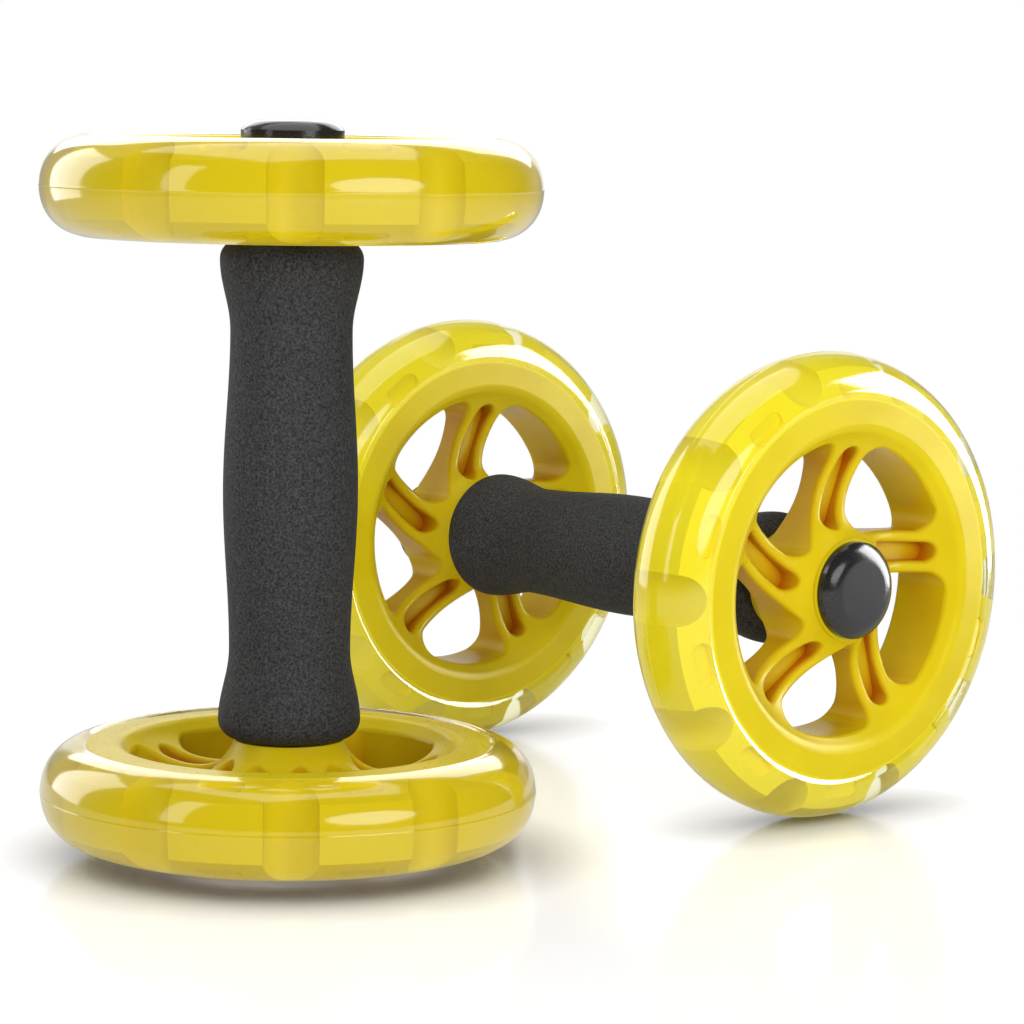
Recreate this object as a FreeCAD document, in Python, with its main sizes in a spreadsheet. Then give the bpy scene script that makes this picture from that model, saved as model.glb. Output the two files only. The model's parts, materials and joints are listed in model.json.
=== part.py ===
import FreeCAD, Part
import Sketcher
import math
import os
import re

# A pair of short two-wheeled hand rollers for core exercise: one stands on its end cap, the other
# lies on its wheels. Both are built from the same masters, drawn on the axle (local Z). A wheel is
# drawn about its own mid-plane with +Z towards the cap.

doc = FreeCAD.newDocument("ab_rollers")

# Driving sizes: millimetres, angles in degrees. Heights marked "from mid-plane" are half widths.
SIZES = (
    ("grip_length", 150.0, "foam grip, end to end"),
    ("grip_end_d", 43.0, "swelling at each end of the grip"),
    ("grip_neck_d", 36.6, "waist beside each end"),
    ("grip_belly_d", 40.6, "palm swell in the middle"),
    ("grip_neck_at", 27.0, "waist, from the end of the grip"),
    ("grip_round", 5.5, "rounding of the grip's end edge"),
    ("tube_od", 25.0, "steel handle tube"),
    ("tube_wall", 2.0, "wall of the tube"),
    ("collar_plug", 16.0, "collar, depth inside the tube"),
    ("collar_flange_d", 27.0, "collar flange over tube and foam"),
    ("collar_flange_t", 1.0, "thickness of that flange"),
    ("axle_d", 10.0, "steel axle, plain through its length"),
    ("axle_tail", 1.0, "axle standing out of the lock nut"),
    ("thrust_washer_d", 20.0, "washer between collar and wheel"),
    ("thrust_washer_t", 1.2, "its thickness"),
    ("nut_washer_d", 20.0, "washer under the lock nut"),
    ("nut_washer_t", 2.0, "its thickness"),
    ("nut_flats", 17.0, "lock nut, across flats"),
    ("nut_hex_t", 7.0, "hexagon of the lock nut"),
    ("nut_collar_d", 15.0, "locking collar of the nut"),
    ("nut_collar_t", 3.0, "its height"),
    ("bush_od", 14.0, "flanged bush in the hub"),
    ("bush_length", 7.0, "barrel of the bush"),
    ("bush_flange_d", 20.0, "flange of the bush"),
    ("bush_flange_t", 1.2, "its thickness"),
    ("hub_d", 33.0, "hub boss of the wheel"),
    ("hub_inner", 12.5, "seat of the inner bush, from mid-plane"),
    ("hub_outer", 14.3, "hub face under the cap, from mid-plane"),
    ("hub_seat", 2.3, "seat of the outer bush, from mid-plane"),
    ("recess_d", 25.0, "nut recess under the cap"),
    ("grip_gap", 0.6, "gap between the hub's edge and the grip"),
    ("collar_gap", 0.75, "gap between the hub's edge and the collar flange"),
    ("spoke_count", 5, "spokes"),
    ("spoke_width", 14.0, "spoke, side to side"),
    ("spoke_lean", 20.0, "lean of the spokes from the radius, at their lowest point"),
    ("spoke_hub_half", 13.4, "spoke beside the hub, from mid-plane"),
    ("spoke_low_half", 4.8, "spoke at its lowest, from mid-plane"),
    ("spoke_web_half", 1.5, "web between the two grooves, from mid-plane"),
    ("groove_width", 6.0, "groove along each spoke face"),
    ("groove_hub_wall", 2.6, "wall between hub boss and groove"),
    ("groove_rim_wall", 4.7, "groove ends this far inside the lip's rounding"),
    ("hole_rim_wall", 2.4, "gap ends this far inside the lip's rounding"),
    ("hole_nose_r", 5.0, "rounding of the gap beside the hub"),
    ("hole_corner_r", 5.0, "rounding of the gap beside the rim"),
    ("rib_round", 1.8, "rounding of the ribs' edges"),
    ("lip_round", 4.1, "rounding of the lip"),
    ("band_width", 8.0, "bare side band beside the lip, radially"),
    ("lip_half", 14.6, "lip, from mid-plane"),
    ("band_half", 14.2, "bare side band where the tyre starts, from mid-plane"),
    ("tyre_seat_d", 122.0, "inner edge of the tyre"),
    ("tyre_cover", 5.0, "tyre over the tooth tops"),
    ("tyre_width", 30.0, "tyre, side to side"),
    ("tread_crown_r", 18.0, "crown of the tread across its width"),
    ("tooth_count", 10, "teeth that key the tyre"),
    ("tooth_height", 9.0, "teeth, above the inner edge of the tyre"),
    ("tooth_top_half", 8.2, "tooth top, from mid-plane"),
    ("tooth_root_half", 12.6, "tooth flank at the side band, from mid-plane"),
    ("tooth_step", 0.9, "radial run of the step below the flank"),
    ("valley_rise", 1.0, "floor of the valleys, above the inner edge of the tyre"),
    ("valley_r", 8.0, "rounding of the valleys"),
    ("notch_length", 14.0, "notch in each tooth flank, along the rim"),
    ("notch_width", 5.0, "notch, radially"),
    ("notch_rise", 3.0, "middle of the notch, above the inner edge of the tyre"),
    ("notch_floor", 9.6, "floor of the notch, from mid-plane"),
    ("cap_d", 31.0, "end cap"),
    ("cap_edge_t", 2.5, "upright edge of the cap"),
    ("cap_dome_t", 3.0, "dome above that edge"),
    ("cap_land_d", 19.0, "flat land on the dome"),
    ("cap_skirt", 4.0, "skirt that snaps into the recess"),
    ("cap_wall", 1.6, "wall of the skirt"),
    ("cap_roof", 2.2, "thickness over the nut"),
    ("running_gap", 0.05, "radial play of the bushes on the axle"),
    ("press_gap", 0.02, "radial allowance of pressed pieces"),
    ("end_float", 0.05, "axial play at each thrust face"),
    ("lying_x", 171.0, "middle of the lying roller"),
    ("lying_y", 36.5, "middle of the lying roller"),
    ("near_phase", -19.0, "turn of the near wheel"),
    ("far_phase", 19.0, "turn of the far wheel"),
)
sheet = doc.addObject("Spreadsheet::Sheet", "Sizes")
for row, (alias, size, note) in enumerate(SIZES, start=1):
    sheet.set("A%d" % row, note)
    sheet.set("B%d" % row, str(size))
    sheet.setAlias("B%d" % row, alias)
doc.recompute()

ALIASES = {alias for alias, size, note in SIZES}
Z_AXIS = FreeCAD.Vector(0, 0, 1)
X_AXIS = FreeCAD.Vector(1, 0, 0)

# Stack along the axle, outwards from the end of the grip to a wheel's mid-plane.
TO_WASHER = "(grip_length / 2 + collar_flange_t)"
TO_BUSH = "(grip_length / 2 + collar_flange_t + thrust_washer_t + end_float)"
TO_WHEEL = "(grip_length / 2 + collar_flange_t + thrust_washer_t + end_float + bush_flange_t + hub_inner)"
# Stack in the nut recess, outwards from a wheel's mid-plane.
TO_NUT_WASHER = "(hub_seat + bush_flange_t + end_float)"
TO_NUT = "(hub_seat + bush_flange_t + end_float + nut_washer_t)"
TO_AXLE_END = "(hub_seat + bush_flange_t + end_float + nut_washer_t + nut_hex_t + nut_collar_t + axle_tail)"
TO_CAP_TOP = "(hub_outer + cap_edge_t + cap_dome_t)"
# The hub's edge towards the grip stands round the collar, just short of the foam.
HUB_EDGE = "(hub_inner + bush_flange_t + end_float + thrust_washer_t + collar_flange_t - grip_gap)"
# Radii of the wheel, inwards and outwards from the inner edge of the tyre.
SEAT_R = "(tyre_seat_d / 2)"
LIP_R = "(tyre_seat_d / 2 - band_width)"
TOOTH_R = "(tyre_seat_d / 2 + tooth_height)"
TYRE_R = "(tyre_seat_d / 2 + tooth_height + tyre_cover)"
# The spokes are lowest two fifths of the way from the hub boss to the lip. From there a hollow curve
# runs up and turns over into the rounding of the lip.
SPOKE_LOW_R = "(0.3 * hub_d + 0.4 * {0})".format(LIP_R)
RISE = "(lip_half - spoke_low_half)"
RUN = "({0} - {1})".format(LIP_R, SPOKE_LOW_R)
TURN = "(1 - 2 * lip_round * {0} / ({0}^2 + {1}^2))".format(RISE, RUN)
TURN_R = "({0} + {1} * {2})".format(SPOKE_LOW_R, RUN, TURN)
TURN_HALF = "(spoke_low_half + {0} * {1})".format(RISE, TURN)


def bound(expression):
    """The expression with every size read from the sheet."""
    return re.sub(r"[a-z]\w*", lambda m: "Sizes." + m[0] if m[0] in ALIASES else m[0], expression)


def number(expression):
    """The expression's value for the sizes as they stand."""
    return float(sheet.evalExpression(bound(expression)))


def constrain(sketch, expression, kind, *places):
    """Adds a dimension that follows the sheet."""
    index = sketch.addConstraint(Sketcher.Constraint(kind, *places, number(expression)))
    sketch.setExpression("Constraints[%d]" % index, bound(expression))


def new_body(name):
    return doc.addObject("PartDesign::Body", name)


def new_sketch(body, name, role="XY_Plane", height=None, turn=None):
    """A sketch on one of the body's origin planes, lifted and turned by expressions."""
    sketch = body.newObject("Sketcher::SketchObject", name)
    plane = next(f for f in body.Origin.OriginFeatures if f.Role == role)
    sketch.AttachmentSupport = [(plane, "")]
    sketch.MapMode = "FlatFace"
    sketch.AttachmentOffset = FreeCAD.Placement(FreeCAD.Vector(), FreeCAD.Rotation(Z_AXIS, 1))
    sketch.setExpression("AttachmentOffset.Rotation.Angle", bound(turn or "0"))
    if height:
        sketch.setExpression("AttachmentOffset.Base.z", bound(height))
    return sketch


def arc_centre(start, end, anchor, shared):
    """Centre of the arc between two points that shares x or y with one of them."""
    a, b = (start, end) if anchor == "start" else (end, start)
    if shared == "x":
        return FreeCAD.Vector(a.x, ((b.x - a.x) ** 2 + b.y ** 2 - a.y ** 2) / (2 * (b.y - a.y)), 0)
    return FreeCAD.Vector(((b.y - a.y) ** 2 + b.x ** 2 - a.x ** 2) / (2 * (b.x - a.x)), a.y, 0)


def outline(sketch, points, arcs=None):
    """A closed outline through points given as expressions; arcs tells which edges are arcs and
    which end of the edge its centre stands level with (shared x or y), so that it leaves square."""
    arcs = arcs or {}
    spots = [FreeCAD.Vector(number(x), number(y), 0) for x, y in points]
    first = sketch.GeometryCount
    ends = []
    for i, start in enumerate(spots):
        end = spots[(i + 1) % len(spots)]
        if i not in arcs:
            sketch.addGeometry(Part.LineSegment(start, end))
            ends.append((1, 2))
            continue
        centre = arc_centre(start, end, *arcs[i])
        forward = (start - centre).cross(end - centre).z > 0
        a, b = (start, end) if forward else (end, start)
        circle = Part.Circle(centre, Z_AXIS, (start - centre).Length)
        sketch.addGeometry(Part.ArcOfCircle(circle, circle.parameter(a), circle.parameter(b)))
        ends.append((1, 2) if forward else (2, 1))
    for i, (x, y) in enumerate(points):
        here = first + i
        after = (i + 1) % len(points)
        sketch.addConstraint(Sketcher.Constraint("Coincident", here, ends[i][1], first + after, ends[after][0]))
        for kind, axis, expression in (("DistanceX", -2, x), ("DistanceY", -1, y)):
            if expression == "0":
                sketch.addConstraint(Sketcher.Constraint("PointOnObject", here, ends[i][0], axis))
            else:
                constrain(sketch, expression, kind, -1, 1, here, ends[i][0])
        if i in arcs:
            anchor, shared = arcs[i]
            level = "Vertical" if shared == "x" else "Horizontal"
            end = ends[i][0] if anchor == "start" else ends[i][1]
            sketch.addConstraint(Sketcher.Constraint(level, here, 3, here, end))


def slot(sketch, x0, x1, width, level="0"):
    """A round-ended slot along the sketch's x axis, or level above it, between two centres."""
    half = number(width) / 2
    a = FreeCAD.Vector(number(x0), number(level), 0)
    b = FreeCAD.Vector(number(x1), number(level), 0)
    up = FreeCAD.Vector(0, half, 0)
    quarter = math.pi / 2
    sketch.addGeometry(Part.ArcOfCircle(Part.Circle(a, Z_AXIS, half), quarter, 3 * quarter))
    sketch.addGeometry(Part.LineSegment(a - up, b - up))
    sketch.addGeometry(Part.ArcOfCircle(Part.Circle(b, Z_AXIS, half), -quarter, quarter))
    sketch.addGeometry(Part.LineSegment(b + up, a + up))
    for one, two in (((0, 2), (1, 1)), ((1, 2), (2, 1)), ((2, 2), (3, 1)), ((3, 2), (0, 1))):
        sketch.addConstraint(Sketcher.Constraint("Tangent", *one, *two))
    for arc, x in ((0, x0), (2, x1)):
        if level == "0":
            sketch.addConstraint(Sketcher.Constraint("PointOnObject", arc, 3, -1))
        else:
            constrain(sketch, level, "DistanceY", -1, 1, arc, 3)
        constrain(sketch, x, "DistanceX", -1, 1, arc, 3)
    constrain(sketch, width + " / 2", "Radius", 0)


def revolved(name, points, arcs=None):
    """A body turned about the axle from a half section given as radius and height."""
    body = new_body(name)
    sketch = new_sketch(body, name + "_section", "XZ_Plane")
    outline(sketch, points, arcs)
    turn = body.newObject("PartDesign::Revolution", name + "_turned")
    turn.Profile = sketch
    turn.ReferenceAxis = (sketch, ["V_Axis"])
    turn.Angle = 360
    return body


def cut(body, sketch, name, upwards=False):
    """A cut from the sketch's plane through everything below it, or above it."""
    pocket = body.newObject("PartDesign::Pocket", name)
    pocket.Profile = sketch
    pocket.Type = "ThroughAll"
    pocket.Reversed = upwards
    return pocket


def around(body, name, features, count):
    """Repeats features evenly about the axle."""
    pattern = body.newObject("PartDesign::PolarPattern", name)
    pattern.Originals = features
    pattern.Axis = (next(f for f in body.Origin.OriginFeatures if f.Role == "Z_Axis"), [""])
    pattern.Angle = 360
    pattern.setExpression("Occurrences", bound(count))
    body.Tip = pattern


def ring(name, outer, inner, thickness):
    """A flat washer that stands on z = 0."""
    return revolved(name, [(inner, "0"), (outer, "0"), (outer, thickness), (inner, thickness)])


# Wheel core: hub, five spokes and rim in one moulding. The section runs from the hub bore along the
# face towards the grip, over the rim and back along the cap side to the nut recess. On both faces the
# spokes sag between the hub and the rim.
BORE = "(bush_od / 2)"
COLLAR_R = "(collar_flange_d / 2 + collar_gap)"
core = revolved("wheel_core", [
    (BORE, "-hub_inner"),
    (COLLAR_R, "-hub_inner"),
    (COLLAR_R, "-" + HUB_EDGE),
    ("hub_d / 2", "-" + HUB_EDGE),
    (SPOKE_LOW_R, "-spoke_low_half"),
    (TURN_R, "-" + TURN_HALF),
    (LIP_R, "-lip_half"),
    (SEAT_R, "-band_half"),
    (SEAT_R + " + tooth_step", "-tooth_root_half"),
    (TOOTH_R, "-tooth_top_half"),
    (TOOTH_R, "tooth_top_half"),
    (SEAT_R + " + tooth_step", "tooth_root_half"),
    (SEAT_R, "band_half"),
    (LIP_R, "lip_half"),
    (TURN_R, TURN_HALF),
    (SPOKE_LOW_R, "spoke_low_half"),
    ("hub_d / 2", "spoke_hub_half"),
    ("hub_d / 2", "hub_outer"),
    ("recess_d / 2", "hub_outer"),
    ("recess_d / 2", "hub_seat"),
    (BORE, "hub_seat"),
], {3: ("end", "x"), 4: ("start", "x"), 5: ("end", "x"),
    13: ("start", "x"), 14: ("end", "x"), 15: ("start", "x")})

# The spokes lean from the radius, so their middle lines pass the axle at a distance. The gap between two
# of them has straight sides along the spokes, rounded into each other at the hub and into the rim.
HALF_PITCH = "(180 / spoke_count)"
LEVEL = "({0} * sin(spoke_lean * 1deg))".format(SPOKE_LOW_R)
LEFT_TURN = "({0} - spoke_lean)".format(HALF_PITCH)
RIGHT_TURN = "(-{0} - spoke_lean)".format(HALF_PITCH)
LEFT_SIDE = "({0} - spoke_width / 2)".format(LEVEL)
RIGHT_SIDE = "({0} + spoke_width / 2)".format(LEVEL)
GAP_TO = "({0} - hole_rim_wall)".format(TURN_R)


def along(turn, distance, across):
    """Expressions for the point that lies a distance along a turned axis and so far to its left."""
    x = "({1} * cos({0} * 1deg) - {2} * sin({0} * 1deg))".format(turn, distance, across)
    y = "({1} * sin({0} * 1deg) + {2} * cos({0} * 1deg))".format(turn, distance, across)
    return x, y


def corner_of(turn, across):
    """Centre of the rounding between a side that lies so far left of the turned axis and the rim."""
    return along(turn, "sqrt(({0} - hole_corner_r)^2 - ({1})^2)".format(GAP_TO, across), across)


def spot(point):
    """The point for the sizes as they stand."""
    return FreeCAD.Vector(number(point[0]), number(point[1]), 0)


NOSE_SIDE = "({0} - hole_nose_r)".format(LEFT_SIDE)
NOSE_RUN = "(({0} + hole_nose_r - {1} * cos(2 * {2} * 1deg)) / sin(2 * {2} * 1deg))".format(
    RIGHT_SIDE, NOSE_SIDE, HALF_PITCH)
NOSE = along(LEFT_TURN, NOSE_RUN, NOSE_SIDE)
LEFT_CORNER = corner_of(LEFT_TURN, "({0} - hole_corner_r)".format(LEFT_SIDE))
RIGHT_CORNER = corner_of(RIGHT_TURN, "({0} + hole_corner_r)".format(RIGHT_SIDE))
gap = new_sketch(core, "spoke_gap", height="tyre_width")
rim = number(GAP_TO)
nose_r = number("hole_nose_r")
corner_r = number("hole_corner_r")
nose, left, right = spot(NOSE), spot(LEFT_CORNER), spot(RIGHT_CORNER)
left_tilt = math.radians(number(LEFT_TURN) + 90)
right_tilt = math.radians(number(RIGHT_TURN) - 90)
left_way = math.atan2(left.y, left.x)
right_way = math.atan2(right.y, right.x)
left_out = FreeCAD.Vector(math.cos(left_tilt), math.sin(left_tilt), 0)
right_out = FreeCAD.Vector(math.cos(right_tilt), math.sin(right_tilt), 0)
gap.addGeometry(Part.ArcOfCircle(Part.Circle(nose, Z_AXIS, nose_r), left_tilt, 2 * math.pi + right_tilt))
gap.addGeometry(Part.LineSegment(nose + left_out * nose_r, left + left_out * corner_r))
gap.addGeometry(Part.ArcOfCircle(Part.Circle(left, Z_AXIS, corner_r), left_way, left_tilt))
gap.addGeometry(Part.ArcOfCircle(Part.Circle(FreeCAD.Vector(), Z_AXIS, rim), right_way, left_way))
gap.addGeometry(Part.ArcOfCircle(Part.Circle(right, Z_AXIS, corner_r), right_tilt, right_way))
gap.addGeometry(Part.LineSegment(right + right_out * corner_r, nose + right_out * nose_r))
for one, two in (((0, 1), (1, 1)), ((1, 2), (2, 2)), ((2, 1), (3, 2)),
                 ((3, 1), (4, 2)), ((4, 1), (5, 1)), ((5, 2), (0, 2))):
    gap.addConstraint(Sketcher.Constraint("Tangent", *one, *two))
gap.addConstraint(Sketcher.Constraint("Coincident", 3, 3, -1, 1))
gap.addConstraint(Sketcher.Constraint("Equal", 2, 4))
constrain(gap, NOSE[0], "DistanceX", -1, 1, 0, 3)
constrain(gap, NOSE[1], "DistanceY", -1, 1, 0, 3)
constrain(gap, "hole_nose_r", "Radius", 0)
constrain(gap, "hole_corner_r", "Radius", 2)
constrain(gap, GAP_TO, "Radius", 3)
constrain(gap, LEFT_CORNER[1], "DistanceY", -1, 1, 2, 3)
constrain(gap, RIGHT_CORNER[1], "DistanceY", -1, 1, 4, 3)
gap_cut = cut(core, gap, "spoke_gap_cut")

# A groove along both faces of each spoke leaves two ribs and a web.
GROOVE_FROM = "sqrt((hub_d / 2 + groove_hub_wall + groove_width / 2)^2 - {0}^2)".format(LEVEL)
GROOVE_TO = "sqrt(({0} - groove_rim_wall - groove_width / 2)^2 - {1}^2)".format(TURN_R, LEVEL)
groove_cuts = []
for face, floor in (("outer", "spoke_web_half"), ("inner", "-spoke_web_half")):
    groove = new_sketch(core, face + "_groove", height=floor, turn=LEFT_TURN)
    slot(groove, GROOVE_FROM, GROOVE_TO, "groove_width", LEVEL)
    groove_cuts.append(cut(core, groove, face + "_groove_cut", face == "outer"))
around(core, "spokes", [gap_cut] + groove_cuts, "spoke_count")

# The ribs' edges are rounded where the upright walls of gaps and grooves meet the sagging spoke faces.
doc.recompute()
spokes = core.Tip
rib_start = number("hub_d / 2 + groove_hub_wall / 2")
rib_end = number(TURN_R + " - hole_rim_wall / 2")
rib_floor = number("(spoke_web_half + spoke_low_half) / 2")
rib_edges = []
for index, edge in enumerate(spokes.Shape.Edges, start=1):
    middle = edge.valueAt((edge.FirstParameter + edge.LastParameter) / 2)
    tilts = []
    for face in spokes.Shape.ancestorsOfType(edge, Part.Face):
        tilts.append(abs(face.normalAt(*face.Surface.parameter(middle)).z))
    on_spoke = rib_start < math.hypot(middle.x, middle.y) < rib_end
    if on_spoke and abs(middle.z) > rib_floor and min(tilts) < 0.01 and max(tilts) > 0.3:
        rib_edges.append("Edge%d" % index)
rounding = core.newObject("PartDesign::Fillet", "rib_rounding")
rounding.Base = (spokes, rib_edges)
rounding.setExpression("Radius", bound("min(rib_round; 0.23 * (spoke_width - groove_width))"))
core.Tip = rounding

# Teeth: round valleys across the rim, and a notch in both flanks of each tooth.
valley = new_sketch(core, "valley", height="tyre_width", turn="180 / tooth_count")
valley.addGeometry(Part.Circle(FreeCAD.Vector(number(SEAT_R + " + valley_rise + valley_r"), 0, 0), Z_AXIS,
                               number("valley_r")))
valley.addConstraint(Sketcher.Constraint("PointOnObject", 0, 3, -1))
constrain(valley, SEAT_R + " + valley_rise + valley_r", "DistanceX", -1, 1, 0, 3)
constrain(valley, "valley_r", "Radius", 0)
tooth_cuts = [cut(core, valley, "valley_cut")]
NOTCH_ENDS = ("-(notch_length - notch_width) / 2", "(notch_length - notch_width) / 2")
for face, floor in (("outer", "notch_floor"), ("inner", "-notch_floor")):
    notch = new_sketch(core, face + "_notch", height=floor, turn="90")
    notch.setExpression("AttachmentOffset.Base.x", bound(SEAT_R + " + notch_rise"))
    slot(notch, *NOTCH_ENDS, "notch_width")
    tooth_cuts.append(cut(core, notch, face + "_notch_cut", face == "outer"))
around(core, "teeth", tooth_cuts, "tooth_count")

# Its mirror image for the other end of the axle, so that both wheels' spokes lean the same way round.
other_core = doc.addObject("Part::Mirroring", "wheel_core_mirrored")
other_core.Source = core
other_core.Normal = FreeCAD.Vector(0, 1, 0)

# Tyre: cast round the teeth. Its round section is a crown arc that runs into two shoulder arcs, which
# meet the flat side square; the rim's own shape is taken out of it.
DEPTH = "(tooth_height + tyre_cover)"
HALF = "(tyre_width / 2)"
SHOULDER = "((2 * {0} * tread_crown_r - {0}^2 - {1}^2) / (2 * (tread_crown_r - {1})))".format(DEPTH, HALF)
MEET_R = "({2} - tread_crown_r + tread_crown_r * (tread_crown_r - {0}) / (tread_crown_r - {1}))".format(
    DEPTH, SHOULDER, TYRE_R)
MEET_Z = "(tread_crown_r * ({0} - {1}) / (tread_crown_r - {1}))".format(HALF, SHOULDER)
tyre_blank = revolved("tyre_blank", [
    (SEAT_R, "-" + HALF),
    (MEET_R, "-" + MEET_Z),
    (TYRE_R, "0"),
    (MEET_R, MEET_Z),
    (SEAT_R, HALF),
], {0: ("start", "x"), 1: ("end", "y"), 2: ("start", "y"), 3: ("end", "x")})
tyre = doc.addObject("Part::Cut", "tyre")
tyre.Base = tyre_blank
tyre.Tool = core

# Grip: foam sleeve with a palm swell, a waist beside each end and rounded end swellings. Each curve
# turns over halfway between a high and a low point.
NECK_Z = "(grip_length / 2 - grip_neck_at)"
SWELL_Z = "(grip_length / 2 - grip_round)"
grip = revolved("grip", [
    ("tube_od / 2", "-grip_length / 2"),
    ("grip_end_d / 2 - grip_round", "-grip_length / 2"),
    ("grip_end_d / 2", "-" + SWELL_Z),
    ("(grip_end_d + grip_neck_d) / 4", "-({0} + {1}) / 2".format(SWELL_Z, NECK_Z)),
    ("grip_neck_d / 2", "-" + NECK_Z),
    ("(grip_neck_d + grip_belly_d) / 4", "-{0} / 2".format(NECK_Z)),
    ("grip_belly_d / 2", "0"),
    ("(grip_neck_d + grip_belly_d) / 4", "{0} / 2".format(NECK_Z)),
    ("grip_neck_d / 2", NECK_Z),
    ("(grip_end_d + grip_neck_d) / 4", "({0} + {1}) / 2".format(SWELL_Z, NECK_Z)),
    ("grip_end_d / 2", SWELL_Z),
    ("grip_end_d / 2 - grip_round", "grip_length / 2"),
    ("tube_od / 2", "grip_length / 2"),
], {1: ("start", "x"), 2: ("start", "y"), 3: ("end", "y"), 4: ("start", "y"), 5: ("end", "y"),
    6: ("start", "y"), 7: ("end", "y"), 8: ("start", "y"), 9: ("end", "y"), 10: ("end", "x")})

handle_tube = revolved("handle_tube", [
    ("tube_od / 2 - tube_wall", "-grip_length / 2"),
    ("tube_od / 2", "-grip_length / 2"),
    ("tube_od / 2", "grip_length / 2"),
    ("tube_od / 2 - tube_wall", "grip_length / 2"),
])

# Axle: one steel rod through the handle and both wheels, drawn without its thread.
AXLE_HALF = "({0} + {1})".format(TO_WHEEL, TO_AXLE_END)
axle = revolved("axle", [
    ("0", "-" + AXLE_HALF),
    ("axle_d / 2", "-" + AXLE_HALF),
    ("axle_d / 2", AXLE_HALF),
    ("0", AXLE_HALF),
])

# Collar: moulded plug in the end of the tube, its flange over the ends of tube and foam.
collar = revolved("collar", [
    ("axle_d / 2 + press_gap", "-collar_plug"),
    ("tube_od / 2 - tube_wall - press_gap", "-collar_plug"),
    ("tube_od / 2 - tube_wall - press_gap", "0"),
    ("collar_flange_d / 2", "0"),
    ("collar_flange_d / 2", "collar_flange_t"),
    ("axle_d / 2 + press_gap", "collar_flange_t"),
])

WASHER_BORE = "(axle_d / 2 + press_gap)"
thrust_washer = ring("thrust_washer", "thrust_washer_d / 2", WASHER_BORE, "thrust_washer_t")
nut_washer = ring("nut_washer", "nut_washer_d / 2", WASHER_BORE, "nut_washer_t")

# Flanged bush: the barrel hangs below its flange, which stands on z = 0.
bush = revolved("bush", [
    ("axle_d / 2 + running_gap", "-bush_length"),
    ("bush_od / 2 - press_gap", "-bush_length"),
    ("bush_od / 2 - press_gap", "0"),
    ("bush_flange_d / 2", "0"),
    ("bush_flange_d / 2", "bush_flange_t"),
    ("axle_d / 2 + running_gap", "bush_flange_t"),
])

# Lock nut: hexagon with the round collar that holds the locking ring.
lock_nut = new_body("lock_nut")
hexagon = new_sketch(lock_nut, "hexagon")
outline(hexagon, [("nut_flats / sqrt(3) * cos(%ddeg)" % turn, "nut_flats / sqrt(3) * sin(%ddeg)" % turn)
                  for turn in (30, 90, 150, 210, 270, 330)])
collar_circle = new_sketch(lock_nut, "nut_collar")
bore_circle = new_sketch(lock_nut, "nut_bore", height="nut_hex_t + nut_collar_t")
for circle_sketch, radius in ((collar_circle, "nut_collar_d / 2"), (bore_circle, WASHER_BORE)):
    circle_sketch.addGeometry(Part.Circle(FreeCAD.Vector(), Z_AXIS, number(radius)))
    circle_sketch.addConstraint(Sketcher.Constraint("Coincident", 0, 3, -1, 1))
    constrain(circle_sketch, radius, "Radius", 0)
for pad_name, pad_sketch, height in (("hexagon_pad", hexagon, "nut_hex_t"),
                                     ("collar_pad", collar_circle, "nut_hex_t + nut_collar_t")):
    pad = lock_nut.newObject("PartDesign::Pad", pad_name)
    pad.Profile = pad_sketch
    pad.setExpression("Length", bound(height))
cut(lock_nut, bore_circle, "nut_bore_cut")

# End cap: low dome with a flat land, an upright edge on the hub face and a skirt in the nut recess.
SKIRT_R = "(recess_d / 2 - press_gap)"
end_cap = revolved("end_cap", [
    ("0", "hub_outer + cap_edge_t + cap_dome_t - cap_roof"),
    (SKIRT_R + " - cap_wall", "hub_outer + cap_edge_t + cap_dome_t - cap_roof"),
    (SKIRT_R + " - cap_wall", "hub_outer - cap_skirt"),
    (SKIRT_R, "hub_outer - cap_skirt"),
    (SKIRT_R, "hub_outer"),
    ("cap_d / 2", "hub_outer"),
    ("cap_d / 2", "hub_outer + cap_edge_t"),
    ("cap_land_d / 2", TO_CAP_TOP),
    ("0", TO_CAP_TOP),
], {6: ("end", "x")})

# Where each master goes: along the axle from the middle of the roller, for one end of it. Wheel
# pieces are drawn from the wheel's mid-plane; the inner bush is turned over.
HANDLE_PIECES = (
    ("collar", collar, "grip_length / 2"),
    ("thrust_washer", thrust_washer, TO_WASHER),
    ("nut_washer", nut_washer, TO_WHEEL + " + " + TO_NUT_WASHER),
    ("lock_nut", lock_nut, TO_WHEEL + " + " + TO_NUT),
)
WHEEL_PIECES = (
    ("wheel_core", None, TO_WHEEL, False),
    ("tyre", tyre, TO_WHEEL, False),
    ("end_cap", end_cap, TO_WHEEL, False),
    ("outer_bush", bush, TO_WHEEL + " + hub_seat", False),
    ("inner_bush", bush, TO_WHEEL + " - hub_inner", True),
)
# The standing roller rests on the land of its lower cap; the lying one on its tyres, axle along Y.
STANDING = ("0", "0", TO_CAP_TOP + " + " + TO_WHEEL)
LYING = ("lying_x", "lying_y", TYRE_R)
CORES = {1: other_core, -1: core}
UPRIGHT = FreeCAD.Rotation()
LAID = FreeCAD.Rotation(X_AXIS, -90)
TURNED_OVER = FreeCAD.Rotation(X_AXIS, 180)
ROLLERS = (
    ("standing", STANDING, UPRIGHT, 2, (("top", 1, "0"), ("bottom", -1, "0"))),
    ("lying", LYING, LAID, 1, (("far", 1, "far_phase"), ("near", -1, "near_phase"))),
)
pieces = []


def place(name, master, origin, rotation, axis, height):
    """Puts a copy of a master on the axle of a roller."""
    piece = doc.addObject("App::Link", name)
    piece.Label = name
    piece.LinkedObject = master
    piece.Placement = FreeCAD.Placement(FreeCAD.Vector(), rotation)
    for index, letter in enumerate("xyz"):
        expression = "{0} + {1}".format(origin[index], height) if index == axis else origin[index]
        piece.setExpression("Placement.Base." + letter, bound(expression))
    pieces.append(piece)


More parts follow.
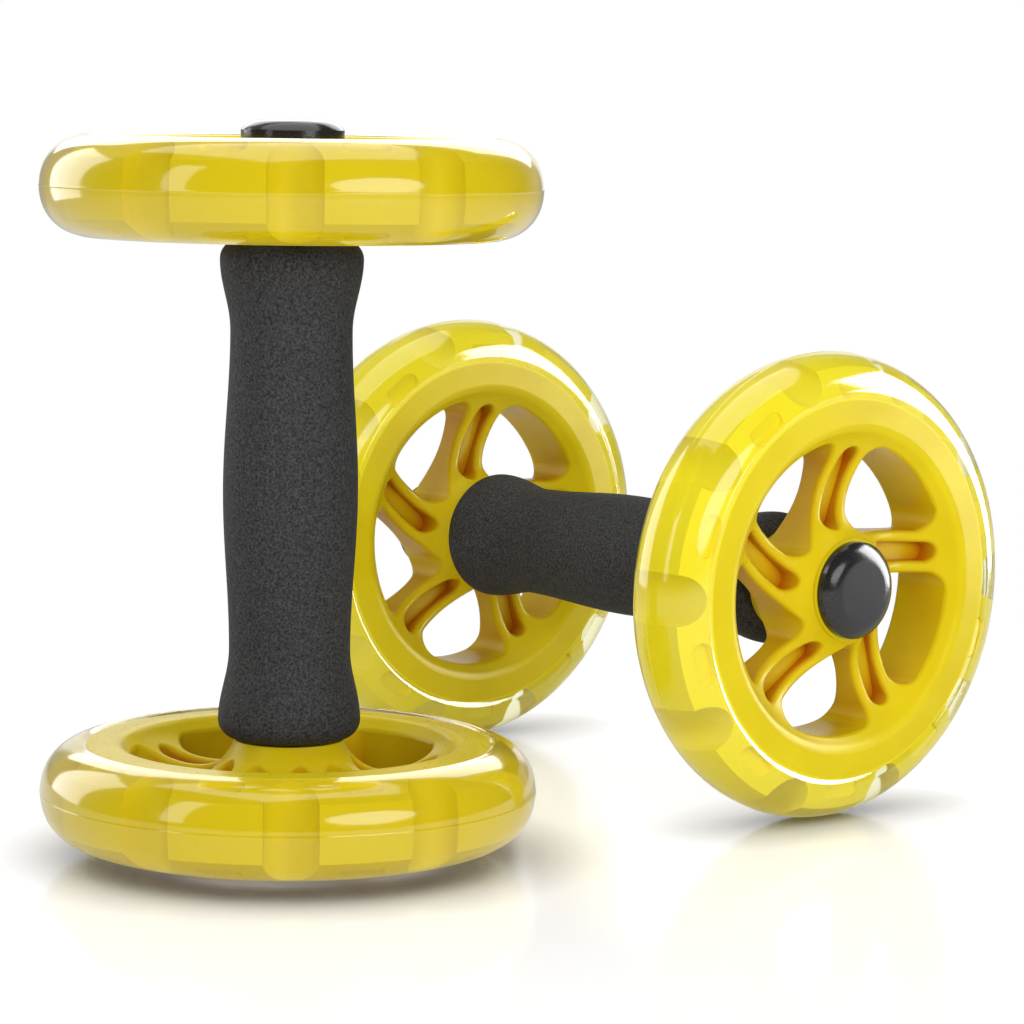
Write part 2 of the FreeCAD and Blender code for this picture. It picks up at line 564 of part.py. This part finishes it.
for roller, origin, rotation, axis, ends in ROLLERS:
    place(roller + "_grip", grip, origin, rotation, axis, "0")
    place(roller + "_handle_tube", handle_tube, origin, rotation, axis, "0")
    place(roller + "_axle", axle, origin, rotation, axis, "0")
    for end, way, phase in ends:
        facing = rotation if way > 0 else rotation.multiply(TURNED_OVER)
        turned = facing.multiply(FreeCAD.Rotation(Z_AXIS, number(phase)))
        prefix = "{0}_{1}_".format(roller, end)
        for name, master, height in HANDLE_PIECES:
            place(prefix + name, master, origin, facing, axis, "{0} * ({1})".format(way, height))
        for name, master, height, over in WHEEL_PIECES:
            seated = turned.multiply(TURNED_OVER) if over else turned
            place(prefix + name, master or CORES[way], origin, seated, axis, "{0} * ({1})".format(way, height))

doc.recompute()

faults = [item.Name for item in doc.Objects if {"Invalid", "Error"} & set(item.State)]
shapes = [(piece.Label, Part.getShape(piece)) for piece in pieces]
faults += [label for label, shape in shapes if shape.isNull() or not shape.isValid()]
if faults:
    raise RuntimeError("pieces that failed: " + ", ".join(faults))
os.makedirs("parts", exist_ok=True)
for label, shape in shapes:
    shape.exportStep("parts/%s.step" % label)
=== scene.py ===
import bpy
import bmesh
import json
import math
from mathutils import Matrix, Vector

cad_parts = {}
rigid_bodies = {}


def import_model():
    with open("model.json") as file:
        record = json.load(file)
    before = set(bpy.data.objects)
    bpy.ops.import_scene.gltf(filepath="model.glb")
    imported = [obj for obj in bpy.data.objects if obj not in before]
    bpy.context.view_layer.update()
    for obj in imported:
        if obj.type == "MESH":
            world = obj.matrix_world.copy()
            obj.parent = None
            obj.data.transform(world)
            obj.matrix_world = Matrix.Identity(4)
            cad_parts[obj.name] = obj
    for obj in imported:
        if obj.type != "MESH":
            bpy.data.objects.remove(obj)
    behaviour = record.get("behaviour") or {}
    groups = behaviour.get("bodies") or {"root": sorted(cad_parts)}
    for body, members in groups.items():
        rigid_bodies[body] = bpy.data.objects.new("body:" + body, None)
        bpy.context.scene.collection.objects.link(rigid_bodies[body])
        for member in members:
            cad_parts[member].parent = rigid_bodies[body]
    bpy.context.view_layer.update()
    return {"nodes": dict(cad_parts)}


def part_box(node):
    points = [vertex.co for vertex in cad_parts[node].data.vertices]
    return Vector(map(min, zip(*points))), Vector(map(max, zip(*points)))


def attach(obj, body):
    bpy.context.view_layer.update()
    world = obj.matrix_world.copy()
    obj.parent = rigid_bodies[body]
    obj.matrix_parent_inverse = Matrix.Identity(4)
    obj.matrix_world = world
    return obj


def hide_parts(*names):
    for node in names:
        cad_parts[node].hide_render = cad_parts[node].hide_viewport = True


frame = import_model()
nodes = frame["nodes"]

# Wheel cores: hub, five grooved spokes and a toothed rim in one injection moulding of yellow ABS.
# The mould's polish leaves a soft gloss, and deep grooves are painted orange as painted shade.
WHEELS = ("standing_top", "standing_bottom", "lying_near", "lying_far")
# Each roller has a point on its axle, the two directions across it, and the rim's yellow under the cast,
# painted brighter as painted light, most on the lying roller.
AXLES = {"standing": ((0.0, 0.0, 0.0), (1.0, 1.0, 0.0), "#DEC714"),
         "lying": ((0.171, 0.0, 0.075), (1.0, 0.0, 1.0), "#F2E42E")}
CAST_FROM = (0.0602, 0.061)


def ink(code):
    """A colour written as sRGB hex, in linear light."""
    parts = [int(code[i:i + 2], 16) / 255 for i in (1, 3, 5)]
    return [c / 12.92 if c <= 0.04045 else ((c + 0.055) / 1.055) ** 2.4 for c in parts] + [1.0]


def add(tree, kind, inputs=None, **settings):
    """Adds a node: settings are its own properties, inputs are values or sockets to link."""
    node = tree.nodes.new(kind)
    for name, value in settings.items():
        setattr(node, name, value)
    for key, value in (inputs or {}).items():
        if isinstance(value, bpy.types.NodeSocket):
            tree.links.new(value, node.inputs[key])
        else:
            node.inputs[key].default_value = value
    return node


def ramp(tree, value, *stops):
    """A colour that runs between two stops, each a place and a hex colour."""
    node = add(tree, "ShaderNodeValToRGB", {"Fac": value})
    for element, (position, colour) in zip(node.color_ramp.elements, stops):
        element.position = position
        element.color = ink(colour)
    return node.outputs["Color"]


def span(tree, value, to, over=(0.0, 1.0), **settings):
    """Carries a value from one range over to another."""
    node = add(tree, "ShaderNodeMapRange", {
        "Value": value, "From Min": over[0], "From Max": over[1],
        "To Min": to[0], "To Max": to[1]}, **settings)
    return node.outputs["Result"]


def calc(tree, operation, first, second):
    """One sum on two values."""
    return add(tree, "ShaderNodeMath", {0: first, 1: second}, operation=operation).outputs["Value"]


def blend(tree, share, first, second):
    """The colour that is first at a share of 0 and second at a share of 1."""
    colour_a, colour_b, colour_out = 6, 7, 2
    node = add(tree, "ShaderNodeMix", {"Factor": share, colour_a: first, colour_b: second}, data_type="RGBA")
    return node.outputs[colour_out]


def layer(tree, share, first, second):
    """The shader that is first at a share of 0 and second at a share of 1."""
    return add(tree, "ShaderNodeMixShader", {0: share, 1: first, 2: second}).outputs["Shader"]


def new_material(name):
    """An empty node material and its output."""
    material = bpy.data.materials.new(name)
    material.use_nodes = True
    material.node_tree.nodes.clear()
    return material, material.node_tree, add(material.node_tree, "ShaderNodeOutputMaterial")


def paint(obj, material):
    """Gives the whole piece one finish."""
    obj.data.materials.clear()
    obj.data.materials.append(material)


for roller, (passes, across, painted_lift_under_cast) in AXLES.items():
    yellow_abs, tree, out = new_material("moulded_yellow_abs_" + roller)
    place = add(tree, "ShaderNodeTexCoord").outputs["Object"]
    # Flow marks of the moulding, 25 mm apart, shift the yellow a little.
    flow = add(tree, "ShaderNodeTexNoise", {"Vector": place, "Scale": 40.0, "Detail": 2.0, "Roughness": 0.5})
    tint = ramp(tree, flow.outputs["Fac"], (0.3, "#DDC50E"), (0.7, "#E6D018"))
    # The rim under the cast, from 61 mm off the axle, gets the roller's own yellow, a painted lift in
    # brightness that is strongest on the lying roller.
    off = add(tree, "ShaderNodeVectorMath", {0: place, 1: passes}, operation="SUBTRACT")
    flat = add(tree, "ShaderNodeVectorMath", {0: off.outputs["Vector"], 1: across}, operation="MULTIPLY")
    reach = add(tree, "ShaderNodeVectorMath", {0: flat.outputs["Vector"]}, operation="LENGTH")
    bare = span(tree, reach.outputs["Value"], (1.0, 0.0), CAST_FROM)
    under = calc(tree, "SUBTRACT", 1.0, bare)
    # Painted light: under the cast the yellow is set brighter than on the bare core.
    yellow = blend(tree, under, tint, ink(painted_lift_under_cast))
    # Between the spokes, 28 mm deep, the yellow is painted warmer as painted shade, and in grooves 9 mm deep
    # it is painted orange as painted shade. Under the cast, hollows are painted a brighter lemon as painted
    # light.
    groove_shade_and_glow = add(tree, "ShaderNodeAmbientOcclusion", {"Distance": 0.009}, samples=8, only_local=True)
    recess_shade = add(tree, "ShaderNodeAmbientOcclusion", {"Distance": 0.028}, samples=8, only_local=True)
    for seen, closed_to_open, most, where, colour in (
            (recess_shade, (0.2, 0.97), 0.95, bare, "#BF760C"),
            (groove_shade_and_glow, (0.05, 0.42), 1.0, bare, "#CB6A0E"),
            (groove_shade_and_glow, (0.3, 0.95), 0.8, under, "#F8EA3A")):
        # Painted shade and light: each pass paints the yellow warmer, orange or brighter by how enclosed the
        # surface is.
        depth = span(tree, seen.outputs["AO"], (most, 0.0), closed_to_open)
        yellow = blend(tree, calc(tree, "MULTIPLY", depth, where), yellow, ink(colour))
    # Polished tool steel leaves a faint orange peel, 1.5 mm across.
    peel = add(tree, "ShaderNodeTexNoise", {"Vector": place, "Scale": 650.0, "Detail": 3.0})
    gloss = span(tree, peel.outputs["Fac"], (0.24, 0.34))
    bump = add(tree, "ShaderNodeBump", {"Height": peel.outputs["Fac"], "Strength": 0.05, "Distance": 0.0002})
    shader = add(tree, "ShaderNodeBsdfPrincipled", {
        "Base Color": yellow, "Roughness": gloss, "IOR": 1.53,
        "Specular IOR Level": 0.08, "Normal": bump.outputs["Normal"]})
    tree.links.new(shader.outputs["BSDF"], out.inputs["Surface"])
    for wheel in WHEELS:
        if wheel.startswith(roller):
            paint(nodes[wheel + "_wheel_core"], yellow_abs)

# Tyres: clear polyurethane cast round the teeth of the rim, so the teeth show inside it. A fine
# parting line runs round the crown. The inner wall lies inside the opaque rim, where the cast bonds.
TYRE_RADIUS = 0.075
TYRE_HALF = 0.015
TYRE_SEAT = 0.061
CROWN = 0.018
PARTING_HEIGHT = 0.00012
PARTING_SHOULDER = 0.0001
PARTING_HALF = 0.0004
EDGE = 0.0022
FEATHER = 0.0009
# Depth under the seat and half width of the wall inside the rim.
BONDED = ((0.0006, 0.0138), (0.0012, 0.0134))
TYRE_MIDDLE = 0.068
TYRE_STEPS = 192


def turned_tree():
    """Geometry nodes that turn the section drawn by a curve about the axle."""
    group = bpy.data.node_groups.new("turned_section", "GeometryNodeTree")
    for name, way, kind in (("Section", "INPUT", "NodeSocketGeometry"),
                            ("Path radius", "INPUT", "NodeSocketFloat"),
                            ("Steps round", "INPUT", "NodeSocketInt"),
                            ("Finish", "INPUT", "NodeSocketMaterial"),
                            ("Turned", "OUTPUT", "NodeSocketGeometry")):
        group.interface.new_socket(name=name, in_out=way, socket_type=kind)
    given = add(group, "NodeGroupInput")
    path = add(group, "GeometryNodeCurvePrimitiveCircle", {
        "Resolution": given.outputs["Steps round"], "Radius": given.outputs["Path radius"]})
    sweep = add(group, "GeometryNodeCurveToMesh", {
        "Curve": path.outputs["Curve"], "Profile Curve": given.outputs["Section"]})
    smooth = add(group, "GeometryNodeSetShadeSmooth", {"Geometry": sweep.outputs["Mesh"]})
    real = add(group, "GeometryNodeRealizeInstances", {"Geometry": smooth.outputs["Geometry"]})
    finish = add(group, "GeometryNodeSetMaterial", {
        "Geometry": real.outputs["Geometry"], "Material": given.outputs["Finish"]})
    add(group, "NodeGroupOutput", {"Turned": finish.outputs["Geometry"]})
    return group


TURNED = turned_tree()


def turned(name, section, path_radius, steps, material):
    """A mesh turned about Z from (radius, height) points in metres."""
    curve = bpy.data.curves.new(name + "_section", "CURVE")
    curve.dimensions = "3D"
    spline = curve.splines.new("POLY")
    spline.points.add(len(section) - 1)
    for point, (radius, height) in zip(spline.points, section):
        point.co = (radius - path_radius, height, 0, 1)
    spline.use_cyclic_u = True
    maker = bpy.data.objects.new(name + "_maker", curve)
    bpy.context.scene.collection.objects.link(maker)
    modifier = maker.modifiers.new("turned", "NODES")
    modifier.node_group = TURNED
    given = {"Path radius": path_radius, "Steps round": steps, "Finish": material}
    for item in TURNED.interface.items_tree:
        if item.in_out == "INPUT" and item.name in given:
            modifier[item.identifier] = given[item.name]
    mesh = bpy.data.meshes.new_from_object(maker.evaluated_get(bpy.context.evaluated_depsgraph_get()))
    bpy.data.objects.remove(maker)
    bpy.data.curves.remove(curve)
    build = bmesh.new()
    build.from_mesh(mesh)
    bmesh.ops.remove_doubles(build, verts=build.verts, dist=1e-6)
    bmesh.ops.recalc_face_normals(build, faces=build.faces)
    build.to_mesh(mesh)
    build.free()
    return mesh


def on_axle(node, upright):
    """The transform that puts a piece turned about Z where a CAD node sits, along Z or along Y."""
    low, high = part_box(node)
    turn = Matrix() if upright else Matrix.Rotation(-math.pi / 2, 4, "X")
    return Matrix.Translation((Vector(low) + Vector(high)) / 2) @ turn


def tyre_section():
    """Half of the cast section from the crown to the seat, then its mirror image."""
    depth = TYRE_RADIUS - TYRE_SEAT
    shoulder = (2 * depth * CROWN - depth ** 2 - TYRE_HALF ** 2) / (2 * (CROWN - TYRE_HALF))
    meet = math.asin((TYRE_HALF - shoulder) / (CROWN - shoulder))
    crown_steps, shoulder_steps, edge_steps = 8, 24, 8
    half = [(TYRE_RADIUS + PARTING_HEIGHT, 0.0),
            (TYRE_RADIUS + PARTING_SHOULDER, PARTING_HALF / 2),
            (TYRE_RADIUS, PARTING_HALF)]
    for i in range(1, crown_steps + 1):
        a = meet * i / crown_steps
        if CROWN * math.sin(a) > PARTING_HALF * 1.5:
            half.append((TYRE_RADIUS - CROWN + CROWN * math.cos(a), CROWN * math.sin(a)))
    for i in range(1, shoulder_steps + 1):
        a = meet + (math.pi / 2 - meet) * i / shoulder_steps
        half.append((TYRE_SEAT + shoulder * math.cos(a), TYRE_HALF - shoulder + shoulder * math.sin(a)))
    # The cast thins to a feather where it meets the lip of the rim.
    half = [p for p in half if p[0] > TYRE_SEAT + EDGE]
    for i in range(1, edge_steps + 1):
        share = i / edge_steps
        half.append((TYRE_SEAT + EDGE * (1 - share), TYRE_HALF - FEATHER * share ** 2))
    half += [(TYRE_SEAT - down, width) for down, width in BONDED]
    return half + [(r, -h) for r, h in reversed(half[1:])]


clear_cast, tree, out = new_material("cast_clear_polyurethane")
place = add(tree, "ShaderNodeTexCoord").outputs["Object"]
# Handling leaves a faint haze in patches of 8 mm and the cast has a slight ripple.
haze = add(tree, "ShaderNodeTexNoise", {"Vector": place, "Scale": 125.0, "Detail": 3.0})
dull = span(tree, haze.outputs["Fac"], (0.1, 0.18))
ripple = add(tree, "ShaderNodeTexNoise", {"Vector": place, "Scale": 70.0, "Detail": 1.0})
bump = add(tree, "ShaderNodeBump", {"Height": ripple.outputs["Fac"], "Strength": 0.08, "Distance": 0.0005})
glass = add(tree, "ShaderNodeBsdfPrincipled", {
    "Base Color": ink("#FCFAD2"), "Roughness": dull, "IOR": 1.38, "Transmission Weight": 1.0,
    "Coat Weight": 0.7, "Coat Roughness": 0.06, "Coat IOR": 1.5, "Normal": bump.outputs["Normal"]})
# Lamps reach the rim through the clear cast.
through = add(tree, "ShaderNodeBsdfTransparent", {"Color": ink("#FCFADC")})
path = add(tree, "ShaderNodeLightPath")
lit = calc(tree, "MAXIMUM", path.outputs["Is Shadow Ray"], path.outputs["Is Diffuse Ray"])
tree.links.new(layer(tree, lit, glass.outputs["BSDF"], through.outputs["BSDF"]), out.inputs["Surface"])

for wheel in WHEELS:
    mesh = turned(wheel + "_clear_tyre", tyre_section(), TYRE_MIDDLE, TYRE_STEPS, clear_cast)
    mesh.transform(on_axle(wheel + "_tyre", "standing" in wheel))
    tyre = bpy.data.objects.new(wheel + "_clear_tyre", mesh)
    bpy.context.scene.collection.objects.link(tyre)
    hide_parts(wheel + "_tyre")
    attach(tyre, wheel + "_wheel")

# Axle, tube, washers and lock nuts: drawn and zinc-plated steel inside the handle and the hubs.
# The collars, bushes and thrust washers are moulded nylon.
plated_steel, tree, out = new_material("zinc_plated_steel")
place = add(tree, "ShaderNodeTexCoord").outputs["Object"]
# The zinc has a grain of about 1 mm.
grain = add(tree, "ShaderNodeTexNoise", {"Vector": place, "Scale": 900.0, "Detail": 2.0})
shader = add(tree, "ShaderNodeBsdfPrincipled", {
    "Base Color": ramp(tree, grain.outputs["Fac"], (0.0, "#A9ABAC"), (1.0, "#C9CBCC")),
    "Roughness": span(tree, grain.outputs["Fac"], (0.25, 0.4)), "Metallic": 1.0})
tree.links.new(shader.outputs["BSDF"], out.inputs["Surface"])
nylon, tree, out = new_material("moulded_nylon")
place = add(tree, "ShaderNodeTexCoord").outputs["Object"]
# Nylon is faintly mottled, in spots of 2 mm.
grain = add(tree, "ShaderNodeTexNoise", {"Vector": place, "Scale": 500.0, "Detail": 2.0})
shader = add(tree, "ShaderNodeBsdfPrincipled", {
    "Base Color": ramp(tree, grain.outputs["Fac"], (0.0, "#2A2A2B"), (1.0, "#363637")),
    "Roughness": 0.5, "IOR": 1.53})
tree.links.new(shader.outputs["BSDF"], out.inputs["Surface"])
for roller in AXLES:
    paint(nodes[roller + "_axle"], plated_steel)
    paint(nodes[roller + "_handle_tube"], plated_steel)
for wheel in WHEELS:
    for piece in ("nut_washer", "lock_nut"):
        paint(nodes["%s_%s" % (wheel, piece)], plated_steel)
    for piece in ("collar", "thrust_washer", "inner_bush", "outer_bush"):
        paint(nodes["%s_%s" % (wheel, piece)], nylon)

# Grips: sleeves of charcoal closed-cell foam, moulded with a palm swell and pushed over the tube.
# The skin is finely pebbled, dry and matt, with grey specks where cells were cut open.
GRIP_HALF = 0.075
GRIP_END = 0.0215
GRIP_NECK = 0.0183
GRIP_BELLY = 0.0203
NECK_AT = 0.048
GRIP_ROUND = 0.0055
GRIP_BORE = 0.0126
END_FACE_MIDDLE = 0.0147
BORE_POINT_AT = 0.02
GRIP_MIDDLE = 0.016
GRIP_STEPS = 128


def grip_section():
    """Outer curve of half the sleeve from its middle to the bore, then its mirror image."""
    swell_at = GRIP_HALF - GRIP_ROUND
    round_steps = 12
    half = []
    for start, end, r0, r1, steps in ((0.0, NECK_AT, GRIP_BELLY, GRIP_NECK, 24),
                                      (NECK_AT, swell_at, GRIP_NECK, GRIP_END, 20)):
        for i in range(steps):
            share = i / steps
            radius = r0 + (r1 - r0) * (1 - math.cos(math.pi * share)) / 2
            half.append((radius, start + (end - start) * share))
    for i in range(round_steps + 1):
        a = math.pi / 2 * i / round_steps
        half.append((GRIP_END - GRIP_ROUND * (1 - math.cos(a)), swell_at + GRIP_ROUND * math.sin(a)))
    half += [(END_FACE_MIDDLE, GRIP_HALF), (GRIP_BORE, GRIP_HALF), (GRIP_BORE, BORE_POINT_AT)]
    return half + [(r, -h) for r, h in reversed(half[1:])]


foam, tree, out = new_material("moulded_nbr_foam")
place = add(tree, "ShaderNodeTexCoord").outputs["Object"]
# Pebbles of about 1 mm; the real skin is finer, drawn this coarse to show.
pebble = add(tree, "ShaderNodeTexVoronoi", {"Vector": place, "Scale": 900.0}, feature="SMOOTH_F1")
fleck = add(tree, "ShaderNodeTexNoise", {"Vector": place, "Scale": 1300.0, "Detail": 3.0, "Roughness": 0.7})
tone = ramp(tree, fleck.outputs["Fac"], (0.35, "#151516"), (0.75, "#48484A"))
bump = add(tree, "ShaderNodeBump", {
    "Height": pebble.outputs["Distance"], "Strength": 0.5, "Distance": 0.0004}, invert=True)
shader = add(tree, "ShaderNodeBsdfPrincipled", {
    "Base Color": tone, "Roughness": 0.7, "IOR": 1.45, "Specular IOR Level": 0.25,
    "Normal": bump.outputs["Normal"]})
tree.links.new(shader.outputs["BSDF"], out.inputs["Surface"])
for roller in AXLES:
    mesh = turned(roller + "_foam_grip", grip_section(), GRIP_MIDDLE, GRIP_STEPS, foam)
    mesh.transform(on_axle(roller + "_grip", roller == "standing"))
    grip = bpy.data.objects.new(roller + "_foam_grip", mesh)
    bpy.context.scene.collection.objects.link(grip)
    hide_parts(roller + "_grip")
    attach(grip, roller + "_handle")

# End caps: black ABS discs with a low dome, moulded in a spark-eroded tool that leaves a fine
# grain under a soft gloss, and snapped into the hub over the lock nut.
black_abs, tree, out = new_material("textured_black_abs")
place = add(tree, "ShaderNodeTexCoord").outputs["Object"]
# Spark erosion leaves pits of about 0.7 mm.
grain = add(tree, "ShaderNodeTexNoise", {"Vector": place, "Scale": 1400.0, "Detail": 2.0})
tone = ramp(tree, grain.outputs["Fac"], (0.0, "#161618"), (1.0, "#29292B"))
bump = add(tree, "ShaderNodeBump", {"Height": grain.outputs["Fac"], "Strength": 0.12, "Distance": 0.0002})
shader = add(tree, "ShaderNodeBsdfPrincipled", {
    "Base Color": tone, "Roughness": 0.16, "IOR": 1.53, "Normal": bump.outputs["Normal"]})
tree.links.new(shader.outputs["BSDF"], out.inputs["Surface"])
for wheel in WHEELS:
    paint(nodes[wheel + "_end_cap"], black_abs)

# Floor: a white acrylic sheet, lit from below as on a photographer's light table, with a soft reflection.
# Close to the rollers it holds their real shadows and a painted contact shadow, and further off it runs into
# the white.
FLOOR_HALF = 6.0
FLOOR_MIDDLE = (0.09, 0.02, 0.0)
FADE_OVER = (0.22, 0.5)
white_sheet, tree, out = new_material("white_acrylic_sheet")
path = add(tree, "ShaderNodeLightPath")
seen = calc(tree, "MAXIMUM", path.outputs["Is Camera Ray"], path.outputs["Is Transmission Ray"])
place = add(tree, "ShaderNodeTexCoord").outputs["Object"]
apart = add(tree, "ShaderNodeVectorMath", {0: place, 1: FLOOR_MIDDLE}, operation="DISTANCE")
fade = span(tree, apart.outputs["Value"], (0.0, 1.0), FADE_OVER, interpolation_type="SMOOTHSTEP")
matt = add(tree, "ShaderNodeBsdfDiffuse", {"Color": ink("#FBFBFB")})
# Within 30 mm of the rollers an occlusion node paints a contact shadow into the sheet's colour and glow.
open_to = add(tree, "ShaderNodeAmbientOcclusion", {"Distance": 0.03}, samples=16)
painted_contact_shadow = ramp(tree, open_to.outputs["AO"], (0.1, "#383838"), (0.95, "#FFFFFF"))
upper = add(tree, "ShaderNodeBsdfDiffuse", {"Color": blend(tree, 0.45, painted_contact_shadow, ink("#000000"))})
lower = add(tree, "ShaderNodeEmission", {"Color": painted_contact_shadow, "Strength": 0.77})
white = add(tree, "ShaderNodeAddShader", {0: upper.outputs["BSDF"], 1: lower.outputs["Emission"]})
sheen = add(tree, "ShaderNodeBsdfGlossy", {"Color": ink("#FFFFFF"), "Roughness": 0.15})
graze = add(tree, "ShaderNodeFresnel", {"IOR": 1.42})
sheet = layer(tree, graze.outputs["Fac"], white.outputs["Shader"], sheen.outputs["BSDF"])
glow = add(tree, "ShaderNodeEmission", {"Color": (1, 1, 1, 1), "Strength": 1.0})
faded = layer(tree, fade, sheet, glow.outputs["Emission"])
tree.links.new(layer(tree, seen, matt.outputs["BSDF"], faded), out.inputs["Surface"])
mesh = bpy.data.meshes.new("floor")
corners = [(x * FLOOR_HALF, y * FLOOR_HALF, 0) for x, y in ((-1, -1), (1, -1), (1, 1), (-1, 1))]
mesh.from_pydata(corners, [], [(0, 1, 2, 3)])
floor = bpy.data.objects.new("floor", mesh)
bpy.context.scene.collection.objects.link(floor)
paint(floor, white_sheet)

# Studio: a white backdrop behind the rollers and a dim room in front of them, so that only the
# softboxes and the backdrop show in the gloss. The overhead softbox is the largest that lights.
BACKDROP_WAY = (0.3, 0.95, 0.0)
ROOM_LEVEL = (0.06, 0.35)
PANEL_WAY = (0.634, 0.751, 0.18)
AMBIENT = 0.36
AIM = Vector((0.09, 0.02, 0.1))
world = bpy.data.worlds.new("studio")
bpy.context.scene.world = world
world.use_nodes = True
tree = world.node_tree
tree.nodes.clear()
way = add(tree, "ShaderNodeTexCoord").outputs["Generated"]
behind = add(tree, "ShaderNodeVectorMath", {0: way, 1: BACKDROP_WAY}, operation="DOT_PRODUCT")
room = span(tree, behind.outputs["Value"], ROOM_LEVEL, (0.3, 0.65), interpolation_type="SMOOTHSTEP")
# A white panel straight behind the rollers shows in the floor at a low angle.
facing = add(tree, "ShaderNodeVectorMath", {0: way, 1: PANEL_WAY}, operation="DOT_PRODUCT")
panel = span(tree, facing.outputs["Value"], (0.0, 1.0), (0.93, 0.96))
path = add(tree, "ShaderNodeLightPath")
clear = calc(tree, "MAXIMUM", path.outputs["Is Camera Ray"], path.outputs["Is Transmission Ray"])
gloss = add(tree, "ShaderNodeMix", {
    "Factor": path.outputs["Is Glossy Ray"], "A": AMBIENT, "B": calc(tree, "MAXIMUM", room, panel)})
level = add(tree, "ShaderNodeMix", {"Factor": clear, "A": gloss.outputs["Result"], "B": 1.0})
sky = add(tree, "ShaderNodeBackground", {"Color": (1, 1, 1, 1), "Strength": level.outputs["Result"]})
add(tree, "ShaderNodeOutputWorld", {"Surface": sky.outputs["Background"]})
# Some lamps light the grips alone, or one roller alone.
beside = {"foam_grip": bpy.data.collections.new("lit_beside_grips")}
for roller in AXLES:
    beside["foam_grip"].objects.link(bpy.data.objects[roller + "_foam_grip"])
for roller in AXLES:
    beside[roller] = bpy.data.collections.new("lit_beside_%s_roller" % roller)
    for piece in bpy.context.scene.objects:
        if piece.name.startswith(roller):
            beside[roller].objects.link(piece)
# Cards show in the gloss and give no light; fills give light and do not show.
for name, spot, width, height, watts, lights, shows, near in (
        ("overhead", (0.1, 0.1, 1.3), 1.2, 1.2, 8.0, True, True, None),
        ("left", (-1.1, 0.0, 0.6), 0.25, 1.0, 2.0, True, True, None),
        ("front", (0.05, -1.2, 0.45), 0.95, 0.55, 5.0, True, True, None),
        ("beside_camera", (-0.85, -0.95, 0.45), 0.5, 0.5, 2.6, True, False, None),
        ("grip_lamp", (-0.8, -1.0, 0.4), 0.3, 0.3, 6.0, True, True, "foam_grip"),
        ("lying_fill", (-0.95, -0.5, 0.6), 0.6, 0.6, 2.6, True, False, "lying"),
        ("right_card", (0.68, -0.28, 0.25), 0.36, 0.5, 7.5, False, True, "lying"),
        ("back_card", (-0.3, 0.8, 0.38), 0.5, 0.76, 3.4, False, True, None),
        ("back_top", (0.95, 1.05, 1.0), 1.8, 1.0, 16.0, False, True, "standing")):
    lamp = bpy.data.lights.new(name, "AREA")
    lamp.shape = "ELLIPSE" if name == "front" else "RECTANGLE"
    lamp.size = width
    lamp.size_y = height
    lamp.energy = watts
    holder = bpy.data.objects.new(name, lamp)
    bpy.context.scene.collection.objects.link(holder)
    holder.location = spot
    holder.rotation_euler = (AIM - Vector(spot)).to_track_quat("-Z", "Y").to_euler()
    holder.visible_camera = False
    holder.visible_transmission = False
    holder.visible_diffuse = lights
    holder.visible_glossy = shows
    if near:
        holder.light_linking.receiver_collection = beside[near]

# Camera: a long lens a little above the upper wheel, set from the outlines of all the wheels.
PAN, TILT, ROLL = (math.radians(angle) for angle in (-40.192, 90 - 6.54, 0.772))
eye = bpy.data.cameras.new("camera")
eye.lens = 126.34
eye.sensor_width = 36.0
eye.clip_end = 20.0
camera = bpy.data.objects.new("camera", eye)
bpy.context.scene.collection.objects.link(camera)
camera.location = (-0.642333, -0.863631, 0.228218)
turn = Matrix.Rotation(PAN, 3, "Z") @ Matrix.Rotation(TILT, 3, "X")
camera.rotation_euler = (turn @ Matrix.Rotation(ROLL, 3, "Z")).to_euler()
bpy.context.scene.camera = camera
bpy.context.scene.view_settings.view_transform = "Standard"
